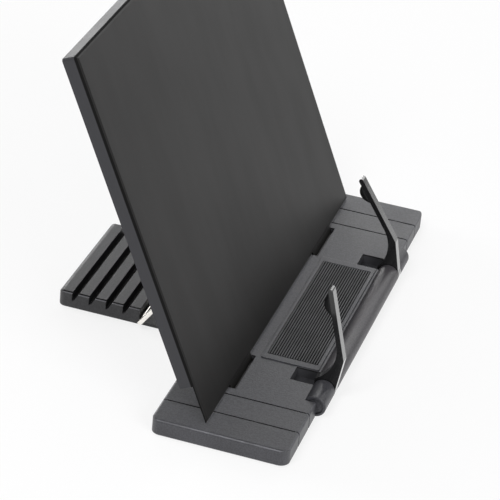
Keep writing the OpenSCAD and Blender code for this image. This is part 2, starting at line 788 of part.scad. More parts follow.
// Strap that holds one end of the prop against the panel's rear
module prop_saddle(s) {
    x = s * (stub_x + stub_end + saddle_w / 2);
    back = sheet_t / 2;
    at_panel() along_x(saddle_w, x) difference() {
        union() {
            translate([pivot_off, pivot_up]) circle(saddle_bore_r + saddle_t);
            translate([back, pivot_up - saddle_bore_r - saddle_t])
                square([saddle_bore_r, 2 * (saddle_bore_r + saddle_t)]);
            translate([back, pivot_up - saddle_bore_r - saddle_flange])
                square([saddle_t, 2 * (saddle_bore_r + saddle_flange)]);
        }
        translate([pivot_off, pivot_up]) circle(saddle_bore_r);
        translate([back - cut, pivot_up - saddle_bore_r]) square([pivot_off - back + cut, 2 * saddle_bore_r]);
        translate([back - 2 * saddle_t - 2 * cut, 0]) square([2 * saddle_t + 2 * cut, panel_up]);
    }
}

module left_prop_saddle() color(bright_steel) placed() prop_saddle(left);
module right_prop_saddle() color(bright_steel) placed() prop_saddle(right);

// Quarter bend of the wire about the origin, from +X to +Y
module wire_bend() {
    rotate_extrude(angle = 90) translate([wire_bend_r, 0]) circle(wire_r);
}

// Half of the prop in its own plane, with its pivot along X and its leg along +Y
module half_prop() {
    inner = leg_x - wire_bend_r;
    translate([(stub_x + inner) / 2, 0, 0]) rod_x(wire_r, inner - stub_x);
    translate([inner, wire_bend_r, 0]) rotate(-90) wire_bend();
    translate([leg_x, wire_bend_r, 0]) rotate([-90, 0, 0])
        cylinder(r = wire_r, h = prop_len - 2 * wire_bend_r);
    translate([inner, prop_len - wire_bend_r, 0]) wire_bend();
    translate([inner / 2, prop_len, 0]) rod_x(wire_r, inner);
}

module prop_wire() color(bright_steel) placed()
    translate([0, pivot_y, pivot_z]) rotate([prop_lean - 90, 0, 0]) {
        half_prop();
        mirror([1, 0, 0]) half_prop();
    }

// Feet and screws

module rubber_feet(at, r) {
    for (p = at)
        translate([p.x, p.y, 0]) cylinder(r = r, h = desk_gap + foot_sink - seat_gap / 2);
}

module crossbar_feet() color(rubber) placed() rubber_feet(foot_at, foot_r);
module ratchet_feet() color(rubber) placed() rubber_feet(rack_foot_at, rack_foot_r);

// Screws let into the floor from below, for holes that end at the height hole_top
module screws(at, hole_top) {
    low = desk_gap + screw_head_t;
    for (p = at)
        translate([p.x, p.y, low]) screw(hole_top - tip_gap - low);
}

module floor_screws() color(bright_steel) placed() screws(boss_at, boss_hole_top);
module barrel_screws() color(bright_steel) placed() screws(barrel_screw_at, lug_hole_top);
module ratchet_screws() color(bright_steel) placed() screws(rack_screw_at, plug_hole_top);

crossbar_cover();
crossbar_floor();
ratchet_foot();
pad_frame();
grip_pad();
barrel_cover();
left_barrel_cap();
right_barrel_cap();
barrel_axle();
left_friction_washers();
right_friction_washers();
left_arm();
right_arm();
left_arm_pad();
right_arm_pad();
panel_sheet();
left_hinge_pin();
right_hinge_pin();
left_prop_saddle();
right_prop_saddle();
prop_wire();
crossbar_feet();
ratchet_feet();
floor_screws();
barrel_screws();
ratchet_screws();
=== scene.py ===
"""Folding desk book stand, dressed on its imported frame.

Each sub-assembly is a class with its sizes in metres. It gives the carried-over pieces their finishes, and
builds the rubber pieces and fasteners that stand for plainer ones or are added. The frame is X along the
crossbar, Y away from the reader and Z up from the desk.
"""
from __future__ import annotations

import logging
import math
from dataclasses import dataclass, field, replace
from enum import Enum
from typing import Any, Callable, Mapping, Optional, Sequence, Union

import bpy
from mathutils import Matrix, Vector

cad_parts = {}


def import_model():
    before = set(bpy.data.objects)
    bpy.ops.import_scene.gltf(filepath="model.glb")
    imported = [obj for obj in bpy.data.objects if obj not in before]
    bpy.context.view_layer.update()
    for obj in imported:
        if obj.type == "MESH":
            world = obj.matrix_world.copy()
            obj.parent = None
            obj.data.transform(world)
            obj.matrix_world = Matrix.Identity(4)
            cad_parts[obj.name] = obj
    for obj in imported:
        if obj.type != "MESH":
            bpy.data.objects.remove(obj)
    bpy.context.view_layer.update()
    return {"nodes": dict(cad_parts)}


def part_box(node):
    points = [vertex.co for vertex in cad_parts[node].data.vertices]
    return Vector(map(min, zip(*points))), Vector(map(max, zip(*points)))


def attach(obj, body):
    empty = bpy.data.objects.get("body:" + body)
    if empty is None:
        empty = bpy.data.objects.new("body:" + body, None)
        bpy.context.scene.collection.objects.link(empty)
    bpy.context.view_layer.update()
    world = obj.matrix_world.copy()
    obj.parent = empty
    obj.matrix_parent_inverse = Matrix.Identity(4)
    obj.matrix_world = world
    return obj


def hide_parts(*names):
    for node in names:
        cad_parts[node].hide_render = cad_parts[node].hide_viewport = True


log = logging.getLogger("book_stand")

Colour = tuple[float, float, float]
Place = tuple[float, float, float]
Spot = tuple[float, float]
Band = tuple[float, float]
Number = Union["Expr", float]

MM = 0.001
# Distance of the stand's origin behind the crossbar's front edge
MIDDLE_Y = 89.625 * MM
# Hinge line of the panel, and how far the panel leans back from upright
HINGE_Y = 50.34976 * MM - MIDDLE_Y
HINGE_Z = 6.2 * MM
LEAN = math.radians(23.5)

ORIGIN = (0.0, 0.0, 0.0)
ALONG = (1.0, 0.0, 0.0)
REARWARD = (0.0, 1.0, 0.0)
UP = (0.0, 0.0, 1.0)

# Places of the Mix node's sockets when it mixes colours
MIX_FACTOR, MIX_LOW, MIX_HIGH, MIX_RESULT = 0, 6, 7, 2
# Share that each finer octave of a noise keeps
NOISE_ROUGHNESS = 0.55
# Rays that a rounded edge is averaged from
BEVEL_SAMPLES = 6
# Turn of a normal, as one minus its cosine, at which an edge begins and is full
EDGE_BAND = (0.02, 0.25)
# Width over which the border of a level area fades
AREA_BLUR = 0.3 * MM

PLASTIC_IOR = 1.5
RUBBER_IOR = 1.48
# How much the clouds of a plastic change its roughness
CLOUD_ROUGHNESS = 0.08
DUST_COLOUR = (0.32, 0.32, 0.31)


class Side(Enum):
    """Left or right half of the stand, with its sign along X."""

    LEFT = -1
    RIGHT = 1

    @property
    def word(self) -> str:
        """Lower-case name, as it stands in piece names."""
        return self.name.lower()


def scaled(colour: Colour, factor: float) -> Colour:
    """A colour with each channel multiplied by the factor."""
    return (colour[0] * factor, colour[1] * factor, colour[2] * factor)


class Expr:
    """A socket of a material's nodes, on which Python's operators add Math nodes."""

    def __init__(self, graph: Graph, socket: bpy.types.NodeSocket) -> None:
        """Wraps an output socket of a material's graph."""
        self.graph = graph
        self.socket = socket

    def _math(self, operation: str, first: Number, second: Number) -> Expr:
        """Adds a Math node, by Blender's name of its operation, and gives the result."""
        return self.graph.node("ShaderNodeMath", {"operation": operation}, {0: first, 1: second})

    def __add__(self, other: Number) -> Expr:
        """Sum."""
        return self._math("ADD", self, other)

    __radd__ = __add__

    def __sub__(self, other: Number) -> Expr:
        """Difference."""
        return self._math("SUBTRACT", self, other)

    def __rsub__(self, other: Number) -> Expr:
        """Difference from a plain number."""
        return self._math("SUBTRACT", other, self)

    def __mul__(self, other: Number) -> Expr:
        """Product."""
        return self._math("MULTIPLY", self, other)

    def squared(self) -> Expr:
        """Product with itself."""
        return self * self

    def centred(self) -> Expr:
        """Difference from one half, the middle of a pattern's range."""
        return self - 0.5

    def ramp(self, low: float, high: float) -> Expr:
        """Maps low to 0 and high to 1, smoothly, with both ends held."""
        return self.graph.node("ShaderNodeMapRange", {"interpolation_type": "SMOOTHSTEP"},
                               {"Value": self, "From Min": low, "From Max": high})

    def blend(self, low: Union[Colour, Expr], high: Union[Colour, Expr]) -> Expr:
        """Mixes two colours by this value: low at 0 and high at 1."""
        return self.graph.node("ShaderNodeMix", {"data_type": "RGBA"},
                               {MIX_FACTOR: self, MIX_LOW: low, MIX_HIGH: high}, output=MIX_RESULT)

    def shade(self, tint: Colour, shades: Band) -> Expr:
        """A tint, multiplied by the first shade at 0 and by the second at 1."""
        return self.blend(scaled(tint, shades[0]), scaled(tint, shades[1]))


@dataclass(frozen=True)
class Blotches:
    """A pattern of soft patches: their size, finer octaves, and the band of a noise that it is cut to."""

    size: float
    detail: float
    band: Band


@dataclass(frozen=True)
class Relief:
    """A fine raised pattern: the size of its lumps, their finer octaves, and its full height."""

    size: float
    detail: float
    depth: float


CLOUDS = Blotches(28 * MM, 3.0, (0.3, 0.7))
DUST_GRAINS = Blotches(0.9 * MM, 1.0, (0.68, 0.8))
DUST_PATCHES = Blotches(16 * MM, 2.0, (0.45, 0.7))


class Graph:
    """Nodes of one material."""

    def __init__(self, name: str) -> None:
        """Makes an empty material.

        Args:
            name: The material's name.
        """
        self.material = bpy.data.materials.new(name)
        self.material.use_nodes = True
        self.tree = self.material.node_tree
        self.tree.nodes.clear()

    def node(self, kind: str, settings: Mapping[str, Any], inputs: Mapping[Union[str, int], Any],
             output: Union[str, int] = 0) -> Expr:
        """Adds a node.

        Args:
            kind: Blender's type name of the node.
            settings: The node's own settings, which are set first.
            inputs: Values or expressions of its sockets, by name or place.
            output: The socket to go on from, by name or place.

        Returns:
            That socket.
        """
        made = self.tree.nodes.new(kind)
        for key, value in settings.items():
            setattr(made, key, value)
        for key, value in inputs.items():
            socket = made.inputs[key]
            if isinstance(value, Expr):
                self.tree.links.new(value.socket, socket)
            elif socket.type == "RGBA":
                socket.default_value = (*value, 1.0)
            else:
                socket.default_value = value
        return Expr(self, made.outputs[output])

    def place(self) -> Expr:
        """Coordinates of the stand's own frame, in metres."""
        return self.node("ShaderNodeTexCoord", {}, {}, output="Object")

    def height(self) -> Expr:
        """Height above the desk, in metres."""
        return self.node("ShaderNodeSeparateXYZ", {}, {"Vector": self.place()}, output="Z")

    def dot(self, first: Expr, second: Union[Place, Expr]) -> Expr:
        """Dot product of two vectors."""
        return self.node("ShaderNodeVectorMath", {"operation": "DOT_PRODUCT"}, {0: first, 1: second},
                         output="Value")

    def along(self, start: Place, way: Place) -> Expr:
        """Distance from a point, measured along a unit vector, in metres."""
        away = self.node("ShaderNodeVectorMath", {"operation": "SUBTRACT"}, {0: self.place(), 1: start})
        return self.dot(away, way)

    def within(self, low: Spot, high: Spot) -> Expr:
        """Mask of a level rectangle.

        Args:
            low: Its lowest X, and its lowest Y as a distance behind the crossbar's front edge.
            high: Its highest X and Y, likewise.

        Returns:
            1 inside and 0 outside.
        """
        left, front = (self.along((low[0], low[1] - MIDDLE_Y, 0.0), way) for way in (ALONG, REARWARD))
        right, rear = (self.along((high[0], high[1] - MIDDLE_Y, 0.0), way) for way in (ALONG, REARWARD))
        return (left.ramp(0.0, AREA_BLUR) * front.ramp(0.0, AREA_BLUR)
                * (1 - right.ramp(-AREA_BLUR, 0.0)) * (1 - rear.ramp(-AREA_BLUR, 0.0)))

    def facing(self, way: Place) -> Expr:
        """How squarely the surface faces a unit vector: 1 towards it, 0 edgewise and -1 away."""
        return self.dot(self.node("ShaderNodeTexCoord", {}, {}, output="Normal"), way)

    def noise(self, size: float, detail: float, at: Optional[Expr] = None) -> Expr:
        """Noise whose lumps are about size across.

        Args:
            size: Size of a lump in metres.
            detail: Number of finer octaves.
            at: Coordinates, or the stand's own.

        Returns:
            A value about 0.5.
        """
        where = self.place() if at is None else at
        return self.node("ShaderNodeTexNoise", {}, {"Vector": where, "Scale": 1.0 / size, "Detail": detail,
                                                    "Roughness": NOISE_ROUGHNESS})

    def patches(self, kind: Blotches, at: Optional[Expr] = None) -> Expr:
        """Soft patches, 1 inside and 0 between, at coordinates given or the stand's own."""
        return self.noise(kind.size, kind.detail, at).ramp(*kind.band)

    def dust(self, grains: Blotches = DUST_GRAINS, patches: Blotches = DUST_PATCHES) -> Expr:
        """Grains of dust that lie in patches: 1 on a grain and 0 elsewhere."""
        return self.patches(grains) * self.patches(patches)

    def stretched(self, factors: Place) -> Expr:
        """Coordinates of the stand, multiplied axis by axis."""
        return self.node("ShaderNodeVectorMath", {"operation": "MULTIPLY"}, {0: self.place(), 1: factors})

    def round_edges(self, radius: float) -> Expr:
        """Normal that runs smoothly over sharp edges, with a radius in metres."""
        return self.node("ShaderNodeBevel", {"samples": BEVEL_SAMPLES}, {"Radius": radius})

    def edge_mask(self, normal: Expr) -> Expr:
        """How far a rounded normal turns from the face's own: 0 on a face, up to 1 on an edge."""
        own = self.node("ShaderNodeNewGeometry", {}, {}, output="Normal")
        return (1.0 - self.dot(normal, own)).ramp(*EDGE_BAND)

    def bump(self, height: Expr, depth: float, normal: Optional[Expr] = None) -> Expr:
        """Normal of a raised surface.

        Args:
            height: Height from 0 to 1.
            depth: Full height in metres.
            normal: The normal underneath, or the face's own.

        Returns:
            The raised normal.
        """
        inputs: dict[Union[str, int], Any] = {"Height": height, "Distance": depth, "Strength": 1.0}
        if normal is not None:
            inputs["Normal"] = normal
        return self.node("ShaderNodeBump", {}, inputs)

    def relief(self, kind: Relief, normal: Optional[Expr] = None) -> Expr:
        """Normal of a finely raised surface, over the normal given or the face's own."""
        return self.bump(self.noise(kind.size, kind.detail), kind.depth, normal)

    def principled(self, inputs: Mapping[Union[str, int], Any]) -> bpy.types.Material:
        """Closes the graph with a Principled shader that takes the inputs given."""
        return self.close(self.node("ShaderNodeBsdfPrincipled", {}, inputs))

    def close(self, shader: Expr) -> bpy.types.Material:
        """Closes the graph with any shader.

        Args:
            shader: The shader's output.

        Returns:
            The finished material.
        """
        end = self.tree.nodes.new("ShaderNodeOutputMaterial")
        self.tree.links.new(shader.socket, end.inputs["Surface"])
        return self.material


@dataclass(frozen=True)
class Recess:
    """Painted shade in sunken forms of a level area, lighter in the wells; a shade multiplies the tint."""

    top: float
    # Corners of the area: X, and distance behind the crossbar's front edge
    low: Spot
    high: Spot
    # Painted shade of the grooves and notches, as a multiplier of the tint
    shade: float
    # Least share by which a surface faces up: -1 takes every surface
    slope: float = -1.0
    # Height below which a form is a well: a height below the desk means no wells
    well_top: float = -1.0
    well_shade: float = 0.75
    dulling: float = 0.4
    top_blur: float = 0.1 * MM
    slope_blur: float = 0.05
    well_blur: float = 0.2 * MM

    def mask(self, g: Graph) -> Expr:
        """Where the painted shade of the sunken forms goes.

        Args:
            g: The material's graph.

        Returns:
            1 in the sunken forms and 0 elsewhere.
        """
        sunken = 1 - g.height().ramp(self.top - self.top_blur, self.top)
        upward = g.facing(UP).ramp(self.slope - self.slope_blur, self.slope)
        return sunken * upward * g.within(self.low, self.high)

    def colour(self, g: Graph, tint: Colour) -> Expr:
        """Painted shade of the sunken forms, as a colour from the tint of the surface about them."""
        shallow = g.height().ramp(self.well_top - self.well_blur, self.well_top)
        return shallow.shade(tint, (self.well_shade, self.shade))


@dataclass(frozen=True)
class PaintedStepLight:
    """End steps of the teeth: painted shade on the risers, a painted highlight on the treads outside them."""

    riser_x: float
    tread_z: float
    # How much lighter than the tint the painted highlight on the treads is
    tread_highlight_gain: float = 6.0
    # Distances past a riser over which its mask ends, and half the height over which it begins
    riser_blur: Band = (0.05 * MM, 0.2 * MM)
    foot_blur: float = 0.05 * MM
    # Distances from a tread's height at which its mask begins to fade and ends
    tread_blur: Band = (0.1 * MM, 0.2 * MM)
    # Squared shares of facing sideways, and shares of facing up
    side_band: Band = (0.4, 0.7)
    level_band: Band = (0.5, 0.8)

    def _outside(self, g: Graph) -> Expr:
        """Mask of what lies outside the risers: 1 outside and 0 between them."""
        near, far = ((self.riser_x + blur) ** 2 for blur in self.riser_blur)
        return g.along(ORIGIN, ALONG).squared().ramp(near, far)

    def risers(self, g: Graph) -> Expr:
        """Where the painted shade on the risers goes.

        Args:
            g: The material's graph.

        Returns:
            1 on the risers and 0 elsewhere.
        """
        sideways = g.facing(ALONG).squared().ramp(*self.side_band)
        above = g.height().ramp(self.tread_z - self.foot_blur, self.tread_z + self.foot_blur)
        return sideways * (1 - self._outside(g)) * above

    def treads(self, g: Graph) -> Expr:
        """Where the painted highlight on the treads goes.

        Args:
            g: The material's graph.

        Returns:
            1 on the treads and 0 elsewhere.
        """
        near, far = self.tread_blur
        height = g.height()
        above = height.ramp(self.tread_z - far, self.tread_z - near)
        below = 1 - height.ramp(self.tread_z + near, self.tread_z + far)
        return g.facing(UP).ramp(*self.level_band) * self._outside(g) * above * below


@dataclass(frozen=True)
class MouldedPlastic:
    """Black moulded plastic with a fine spark-eroded grain; edges polished by handling, lighter as wear and
    as a painted highlight.
    """

    name: str
    tint: Colour
    roughness: float
    specular: float = 0.5
    grain: Relief = Relief(0.9 * MM, 1.5, 0.07 * MM)
    mottle: Relief = Relief(2.2 * MM, 1.0, 0.05 * MM)
    edge: float = 0.5 * MM
    specks: Blotches = Blotches(1.0 * MM, 1.0, (0.35, 0.65))
    dark_shades: Band = (0.7, 0.92)
    light_shades: Band = (1.08, 1.35)
    dust_share: float = 0.18
    wear_and_highlight_patches: Blotches = Blotches(9 * MM, 2.0, (0.25, 0.6))
    wear_and_highlight_share: float = 0.45
    wear_and_highlight_gain: float = 2.6
    wear_polish: float = 0.1
    # Share of a painted highlight on rounded edges, placed by which way they face
    round_highlight: float = 0.0
    # Shares of facing up over which a rounded edge begins and ends
    round_begins: Band = (0.2, 0.5)
    round_ends: Band = (0.85, 0.97)
    recess: Optional[Recess] = None
    step_light: Optional[PaintedStepLight] = None

    def _wear_and_highlight(self, g: Graph, rounded: Expr) -> Expr:
        """Where handling has worn the plastic, and where a highlight is painted on its edges.

        Args:
            g: The material's graph.
            rounded: The normal with rounded edges.

        Returns:
            0 on plain faces and up to 1 on edges.
        """
        upward = g.facing(UP)
        # Painted highlight on rounded edges, between facing up and facing sideways
        round_highlight_mask = upward.ramp(*self.round_begins) * (1 - upward.ramp(*self.round_ends))
        return (g.edge_mask(rounded) + round_highlight_mask * self.round_highlight) * g.patches(self.wear_and_highlight_patches)

    def _surface(self, g: Graph, clouds: Expr, wear_and_highlight: Expr) -> Expr:
        """Colour of the open surface.

        Args:
            g: The material's graph.
            clouds: Pattern of its large patches.
            wear_and_highlight: Where it is worn, and where a highlight is painted.

        Returns:
            The colour.
        """
        dark, light = (clouds.shade(self.tint, shades) for shades in (self.dark_shades, self.light_shades))
        body = g.patches(self.specks).blend(dark, light)
        dusty = (g.dust() * self.dust_share).blend(body, DUST_COLOUR)
        # Worn edges and painted highlights are lighter than the tint
        return (wear_and_highlight * self.wear_and_highlight_share).blend(dusty, scaled(self.tint, self.wear_and_highlight_gain))

    def build(self) -> bpy.types.Material:
        """Builds the material.

        Returns:
            The material.
        """
        g = Graph(self.name)
        rounded = g.round_edges(self.edge)
        wear_and_highlight = self._wear_and_highlight(g, rounded)
        clouds = g.patches(CLOUDS)
        colour = self._surface(g, clouds, wear_and_highlight)
        roughness = self.roughness + clouds.centred() * CLOUD_ROUGHNESS - wear_and_highlight * self.wear_polish
        # Painted highlight on the treads of the end steps
        if self.step_light is not None:
            colour = self.step_light.treads(g).blend(colour, scaled(self.tint, self.step_light.tread_highlight_gain))
        # Painted shade in grooves, notches and wells and on the step risers; it is made rougher there too
        if self.recess is not None:
            dark = self.recess.mask(g)
            if self.step_light is not None:
                dark = dark + self.step_light.risers(g)
            colour = dark.blend(colour, self.recess.colour(g, self.tint))
            roughness = roughness + dark * self.recess.dulling
        raised = g.relief(self.grain, g.relief(self.mottle, rounded))
        return g.principled({"Base Color": colour, "Roughness": roughness, "IOR": PLASTIC_IOR,
                             "Specular IOR Level": self.specular, "Normal": raised})


@dataclass(frozen=True)
class GlossyPlastic:
    """Dark smooth plastic, glossiest on the narrow faces that a hand slides over."""

    name: str
    tint: Colour
    roughness: float
    specular: float = 0.3
    # Squared shares of facing sideways at which a broad face begins and is full
    broad_band: Band = (0.3, 0.6)
    broad_polish: float = 0.25
    polish_roughness: float = 0.06
    polish_index: float = 1.9
    shades: Band = (0.8, 1.25)
    dust_share: float = 0.12
    hairline: float = 0.4 * MM
    hairline_detail: float = 1.5
    hairline_stretch: Place = (1.0, 1.0, 0.08)
    hairline_roughness: float = 0.06
    ripple: Relief = Relief(2.2 * MM, 1.0, 0.004 * MM)
    edge: float = 0.5 * MM

    def build(self) -> bpy.types.Material:
        """Builds the material.

        Returns:
            The material.
        """
        g = Graph(self.name)
        narrow = 1 - g.facing(ALONG).squared().ramp(*self.broad_band)
        clouds = g.patches(CLOUDS)
        body = clouds.shade(self.tint, self.shades)
        hairlines = g.noise(self.hairline, self.hairline_detail, g.stretched(self.hairline_stretch))
        roughness = (self.roughness + clouds.centred() * CLOUD_ROUGHNESS
                     + hairlines.centred() * self.hairline_roughness)
        return g.principled({"Base Color": (g.dust() * self.dust_share).blend(body, DUST_COLOUR),
                             "Roughness": roughness, "IOR": PLASTIC_IOR, "Specular IOR Level": self.specular,
                             "Coat Weight": self.broad_polish + narrow * (1 - self.broad_polish),
                             "Coat Roughness": self.polish_roughness, "Coat IOR": self.polish_index,
                             "Normal": g.relief(self.ripple, g.round_edges(self.edge))})


@dataclass(frozen=True)
class CoatedSheet:
    """Steel sheet under black stove enamel: satin on the face, grained on the rim, with a painted dark
    reflection along the fold.
    """

    name: str
    tint: Colour
    rim_tint: Colour
    roughness: float
    specular: float = 0.25
    clouds: Blotches = Blotches(70 * MM, 3.0, (0.3, 0.7))
    shades: Band = (0.88, 1.14)
    dust_grains: Blotches = Blotches(0.8 * MM, 0.0, (0.74, 0.84))
    dust_patches: Blotches = Blotches(40 * MM, 2.0, (0.4, 0.7))
    dust_colour: Colour = (0.3, 0.3, 0.29)
    dust_share: float = 0.1
    dust_dulling: float = 0.1
    wipes: Blotches = Blotches(18 * MM, 2.0, (0.3, 0.75))
    wipe_stretch: Place = (1.0, 0.25, 0.25)
    wipe_roughness: float = 0.04
    peel: Relief = Relief(1.6 * MM, 1.0, 0.012 * MM)
    grain: Relief = Relief(1.1 * MM, 1.5, 0.05 * MM)
    edge: float = 0.3 * MM
    # The hinge line, and the way from it square to the sheet
    foot: Place = (0.0, HINGE_Y, HINGE_Z)
    inward: Place = (0.0, math.cos(LEAN), -math.sin(LEAN))
    face_band: Band = (0.45, 0.7)
    # Distances that way over which the fold's painted dark line begins and ends
    fold_begins: Band = (-0.55 * MM, -0.2 * MM)
    fold_ends: Band = (1.1 * MM, 1.8 * MM)
    painted_fold_shade: float = 0.2
    fold_dulling: float = 0.5

    def build(self) -> bpy.types.Material:
        """Builds the material.

        Returns:
            The material.
        """
        g = Graph(self.name)
        depth = g.along(self.foot, self.inward)
        edgewise = 1 - g.facing(self.inward).squared().ramp(*self.face_band)
        past_fold = depth.ramp(*self.fold_ends)
        rim = past_fold * edgewise
        # Painted dark reflection along the fold; it is made rougher there too
        line = depth.ramp(*self.fold_begins) * (1 - past_fold) * edgewise
        dust = g.dust(self.dust_grains, self.dust_patches)
        face = g.patches(self.clouds).shade(self.tint, self.shades)
        body = rim.blend((dust * self.dust_share).blend(face, self.dust_colour), self.rim_tint)
        wiped = g.patches(self.wipes, g.stretched(self.wipe_stretch))
        roughness = (self.roughness + wiped.centred() * self.wipe_roughness + dust * self.dust_dulling
                     + line * self.fold_dulling)
        skin = g.relief(self.peel, g.round_edges(self.edge))
        grained = g.bump(g.noise(self.grain.size, self.grain.detail) * rim, self.grain.depth, skin)
        return g.principled({"Base Color": line.blend(body, scaled(self.tint, self.painted_fold_shade)),
                             "Roughness": roughness, "IOR": PLASTIC_IOR, "Specular IOR Level": self.specular,
                             "Normal": grained})


@dataclass(frozen=True)
class BrightMetal:
    """Plated or plain steel, with drawing marks along X and a little dulling."""

    name: str
    tint: Colour
    roughness: float
    mark_stretch: Place
    mark_depth: float
    mark: float = 0.35 * MM
    mark_detail: float = 2.0
    mark_roughness: float = 0.06
    dull_patches: Blotches = Blotches(6 * MM, 3.0, (0.4, 0.75))
    dull_shade: float = 0.86
    dull_roughness: float = 0.08
    edge: float = 0.15 * MM

    def build(self) -> bpy.types.Material:
        """Builds the material.

        Returns:
            The material.
        """
        g = Graph(self.name)
        marks = g.noise(self.mark, self.mark_detail, g.stretched(self.mark_stretch))
        dull = g.patches(self.dull_patches)
        roughness = self.roughness + dull * self.dull_roughness + marks.centred() * self.mark_roughness
        return g.principled({"Base Color": dull.blend(self.tint, scaled(self.tint, self.dull_shade)),
                             "Metallic": 1.0, "Roughness": roughness,
                             "Normal": g.bump(marks, self.mark_depth, g.round_edges(self.edge))})


@dataclass(frozen=True)
class SoftRubber:
    """Matt black rubber with a dry, slightly dusty skin, and painted shade in its grooves where it is ribbed.
    """

    name: str
    tint: Colour
    roughness: float
    specular: float
    clouds: Blotches = Blotches(11 * MM, 3.0, (0.3, 0.7))
    cloud_roughness: float = 0.1
    shades: Band = (0.85, 1.2)
    dust: Blotches = Blotches(0.7 * MM, 1.0, (0.6, 0.8))
    dust_colour: Colour = (0.25, 0.25, 0.24)
    dust_share: float = 0.06
    skin: Relief = Relief(0.4 * MM, 1.0, 0.02 * MM)
    # Heights over which the painted shade of the grooves fades out
    rib_heights: Optional[Band] = None
    painted_groove_shade: float = 0.05

    def build(self) -> bpy.types.Material:
        """Builds the material.

        Returns:
            The material.
        """
        g = Graph(self.name)
        clouds = g.patches(self.clouds)
        body = clouds.shade(self.tint, self.shades)
        colour = (g.patches(self.dust) * self.dust_share).blend(body, self.dust_colour)
        # Painted shade in the grooves between the ribs
        if self.rib_heights is not None:
            colour = g.height().ramp(*self.rib_heights).blend(scaled(self.tint, self.painted_groove_shade), colour)
        return g.principled({"Base Color": colour,
                             "Roughness": self.roughness + clouds.centred() * self.cloud_roughness,
                             "IOR": RUBBER_IOR, "Specular IOR Level": self.specular,
                             "Normal": g.relief(self.skin)})


@dataclass(frozen=True)
class PaleFloor:
    """Matt white paper that stays white to the eye and in reflections, and keeps a share of the shadow."""

    name: str
    tint: Colour
    glow: float
    clouds: Blotches = Blotches(0.6, 2.0, (0.3, 0.7))
    cloud_shade: float = 0.985
    roughness: float = 0.9
    specular: float = 0.1
    white_rays: tuple[str, ...] = ("Camera", "Glossy", "Transmission")

    def build(self) -> bpy.types.Material:
        """Builds the material.

        Returns:
            The material.
        """
        g = Graph(self.name)
        colour = g.patches(self.clouds).blend(scaled(self.tint, self.cloud_shade), self.tint)
        paper = g.node("ShaderNodeBsdfPrincipled", {}, {"Base Color": colour, "Roughness": self.roughness,
                                                        "Specular IOR Level": self.specular})
        white = g.node("ShaderNodeEmission", {}, {"Color": (1.0, 1.0, 1.0), "Strength": 1.0})
        camera, glossy, transmission = (g.node("ShaderNodeLightPath", {}, {}, output=f"Is {kind} Ray")
                                        for kind in self.white_rays)
        share = (camera + glossy + transmission).ramp(0.0, 1.0) * self.glow
        return g.close(g.node("ShaderNodeMixShader", {}, {0: share, 1: paper, 2: white}))


class Finishes:
    """The stand's materials, built once."""

    def __init__(self) -> None:
        """Builds each material."""
        grained = MouldedPlastic("black_grained_plastic", tint=(0.0455, 0.0458, 0.052), roughness=0.42)
        # Painted shade in the crossbar's grooves and wells, and in the foot's notches
        pocket_shade = Recess(top=11.48 * MM, low=(-157 * MM, 2.75 * MM), high=(157 * MM, 82.75 * MM), shade=0.05,
                         well_top=10.6 * MM)
        notch_shade = Recess(top=11.5 * MM, low=(-46.9 * MM, 131 * MM), high=(46.9 * MM, 179 * MM), shade=0.12,
                         slope=0.25)
        self.black = grained.build()
        self.barrel = replace(grained, name="black_barrel_plastic", tint=(0.0545, 0.0515, 0.0565)).build()
        # The ledge adds a painted highlight on its rounded edges, and painted shade in its grooves and wells
        self.ledge = replace(grained, name="black_ledge_plastic", recess=pocket_shade, round_highlight=0.8).build()
        # Tint darker than the other black plastic, as painted shade; also painted shade in the notches and a
        # painted highlight at the steps
        self.shaded_toothed = MouldedPlastic("black_toothed_plastic", tint=(0.031, 0.031, 0.0335), roughness=0.42,
                                      specular=0.45, edge=0.2 * MM, recess=notch_shade,
                                      step_light=PaintedStepLight(riser_x=47 * MM, tread_z=11.1 * MM)).build()
        self.dark = GlossyPlastic("dark_smooth_plastic", tint=(0.009, 0.009, 0.0095), roughness=0.16).build()
        self.sheet = CoatedSheet("satin_black_enamel", tint=(0.0105, 0.01, 0.0098),
                                 rim_tint=(0.037, 0.037, 0.041), roughness=0.44).build()
        self.wire = BrightMetal("bright_plating", tint=(0.97, 0.94, 0.89), roughness=0.1,
                                mark_stretch=(0.06, 1.0, 1.0), mark_depth=0.001 * MM).build()
        self.steel = BrightMetal("plain_steel", tint=(0.52, 0.52, 0.53), roughness=0.3,
                                 mark_stretch=(0.1, 1.0, 1.0), mark_depth=0.004 * MM).build()
        self.rubber = SoftRubber("black_rubber", tint=(0.006, 0.0062, 0.0068), roughness=0.66,
                                 specular=0.2).build()
        self.ribbed = SoftRubber("ribbed_rubber", tint=(0.1, 0.1, 0.104), roughness=0.6, specular=0.2,
                                 rib_heights=(11.8 * MM, 12.35 * MM)).build()


@dataclass(frozen=True)
class Frame:
    """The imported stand, as it was loaded."""

    nodes: Mapping[str, bpy.types.Object]

    def dress(self, material: bpy.types.Material, *names: str) -> None:
        """Gives carried-over pieces a finish.

        Args:
            material: The finish.
            *names: The pieces' node names.
        """
        for name in names:
            piece = self.nodes[name]
            if not piece.material_slots:
                piece.data.materials.append(material)
            for held in piece.material_slots:
                held.material = material
            log.info("dressed %s with %s", name, material.name)


def mesh_piece(name: str, points: Sequence[Vector], faces: Sequence[Sequence[int]],
               material: bpy.types.Material) -> bpy.types.Object:
    """Makes a smooth mesh object.

    Args:
        name: The piece's name.
        points: Its points in the stand's frame.
        faces: Its faces, as indices of points.
        material: Its finish.

    Returns:
        The object.
    """
    mesh = bpy.data.meshes.new(name)
    mesh.from_pydata([tuple(p) for p in points], [], [tuple(f) for f in faces])
    mesh.materials.append(material)
    mesh.polygons.foreach_set("use_smooth", [True] * len(mesh.polygons))
    mesh.update()
    piece = bpy.data.objects.new(name, mesh)
    bpy.context.scene.collection.objects.link(piece)
    return piece


def on_circle(radius: float, column: int, sides: int, height: float) -> Vector:
    """A point of a circle about Z that is parted into sides."""
    angle = 2 * math.pi * column / sides
    return Vector((radius * math.cos(angle), radius * math.sin(angle), height))


